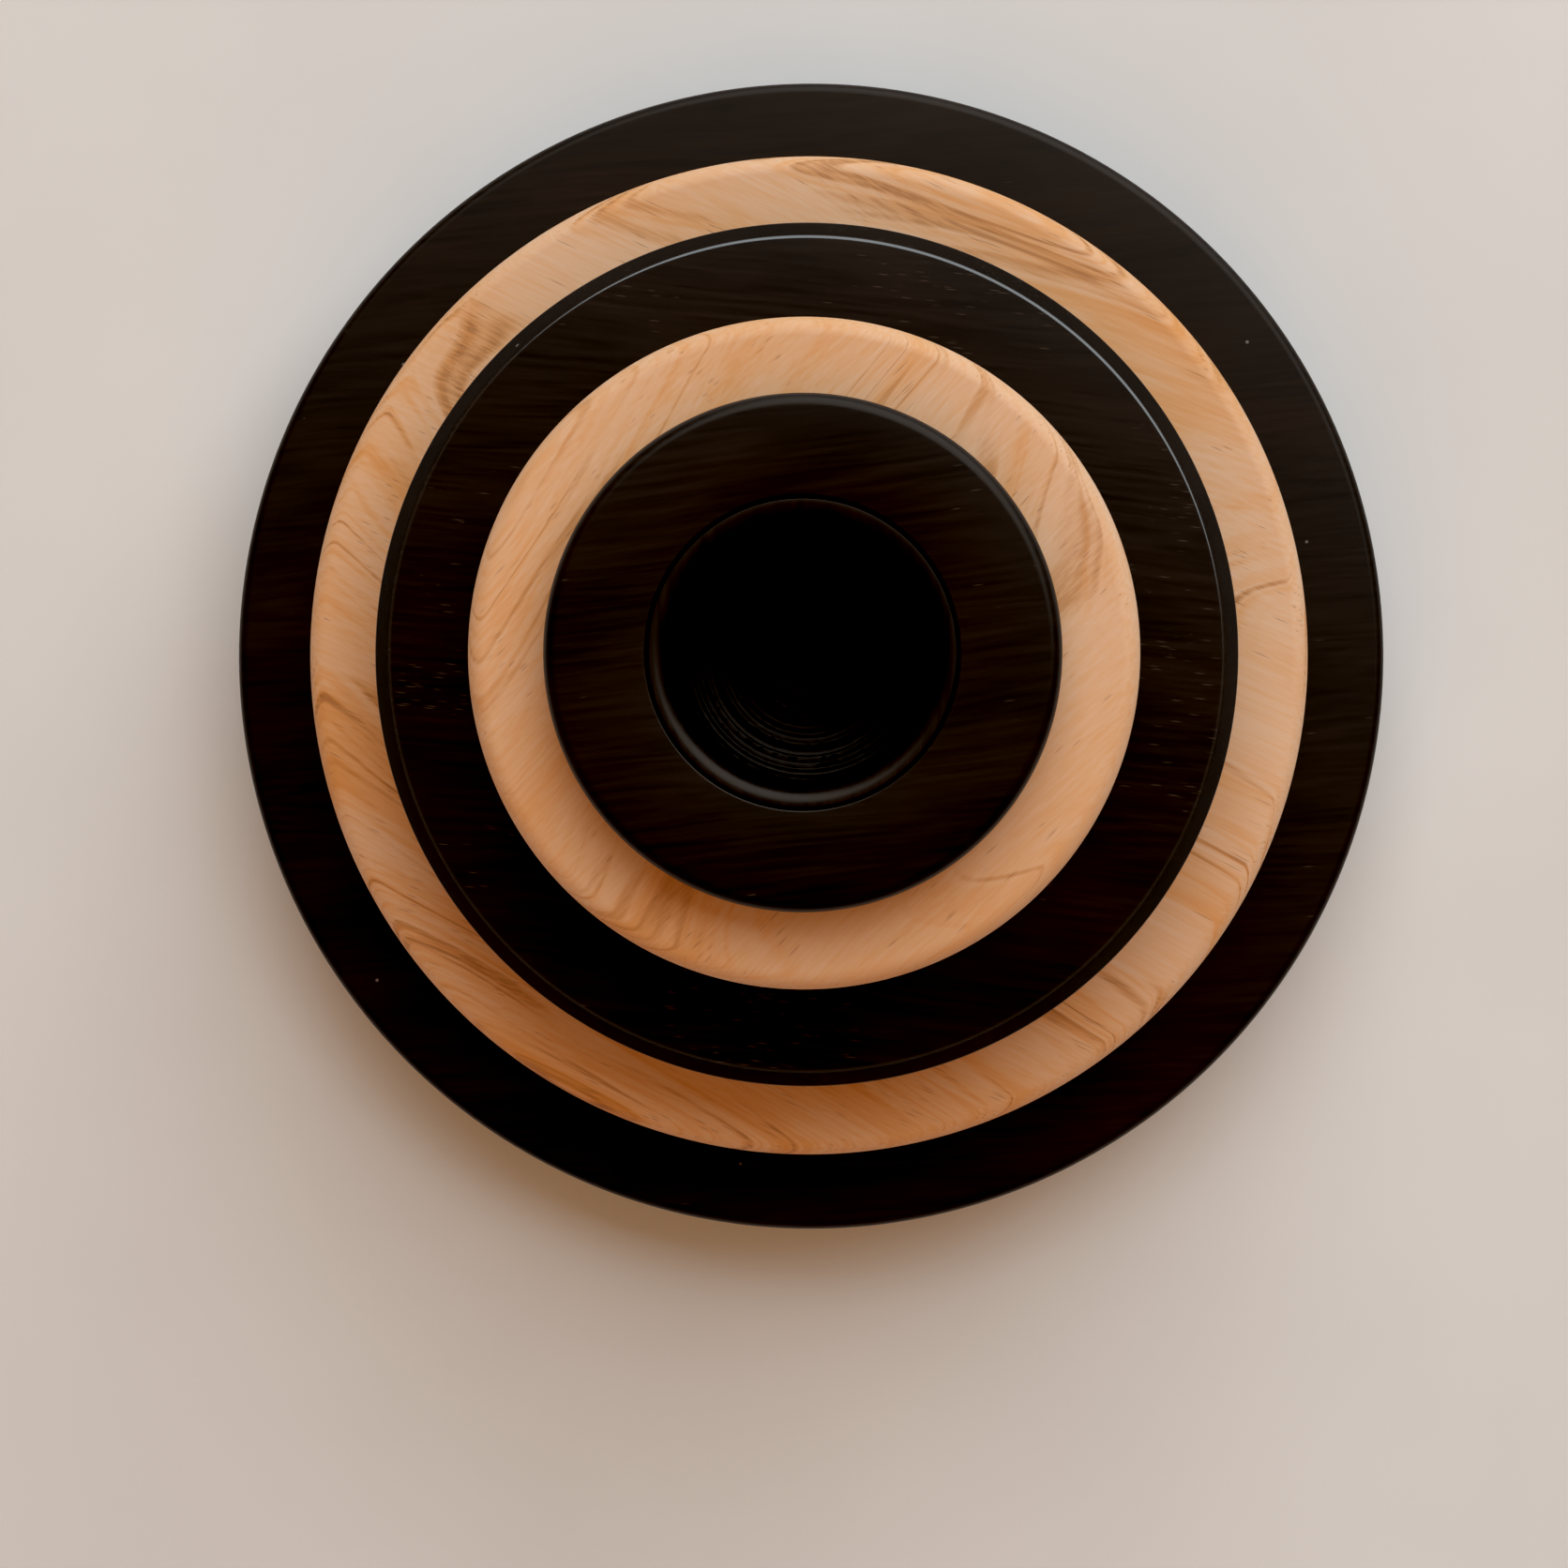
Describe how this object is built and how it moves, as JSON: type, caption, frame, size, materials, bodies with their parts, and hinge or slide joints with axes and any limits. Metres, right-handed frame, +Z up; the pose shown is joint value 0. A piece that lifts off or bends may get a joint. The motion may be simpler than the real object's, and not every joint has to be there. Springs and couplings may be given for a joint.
{
  "type": "tower of hanoi puzzle",
  "caption": "Round stacking tower puzzle: a black base plate with a hollow centre post that carries loose turned wooden discs of falling size, natural and black in turn.",
  "frame": {"origin": "on the tower's axis, at the level of the felt pads' undersides", "axes": "+Z up along the post; +X through the first felt pad"},
  "size_m": [0.13, 0.13, 0.074],
  "materials": {
    "black_wood": "black stain, satin",
    "natural_wood": "clear oiled, satin",
    "steel": "zinc plated, satin",
    "felt": "dark pressed felt"
  },
  "bodies": {
    "stand": {"base_plate": "black_wood", "post": "black_wood", "post_screw": "steel", "screw_washer": "steel", "felt_pad_1": "felt", "felt_pad_2": "felt", "felt_pad_3": "felt", "felt_pad_4": "felt"},
    "disc_1": {"disc_1_natural": "natural_wood"},
    "disc_2": {"disc_2_black": "black_wood"},
    "disc_3": {"disc_3_natural": "natural_wood"},
    "disc_4": {"disc_4_black": "black_wood"}
  },
  "joints": [
    {"name": "lift_disc_1", "type": "slide", "parent": "stand", "child": "disc_1", "axis": [0, 0, 1], "range_m": [0, 0.058]},
    {"name": "lift_disc_2", "type": "slide", "parent": "disc_1", "child": "disc_2", "axis": [0, 0, 1], "range_m": [0, 0.042]},
    {"name": "lift_disc_3", "type": "slide", "parent": "disc_2", "child": "disc_3", "axis": [0, 0, 1], "range_m": [0, 0.026]},
    {"name": "lift_disc_4", "type": "slide", "parent": "disc_3", "child": "disc_4", "axis": [0, 0, 1], "range_m": [0, 0.01]}
  ]
}
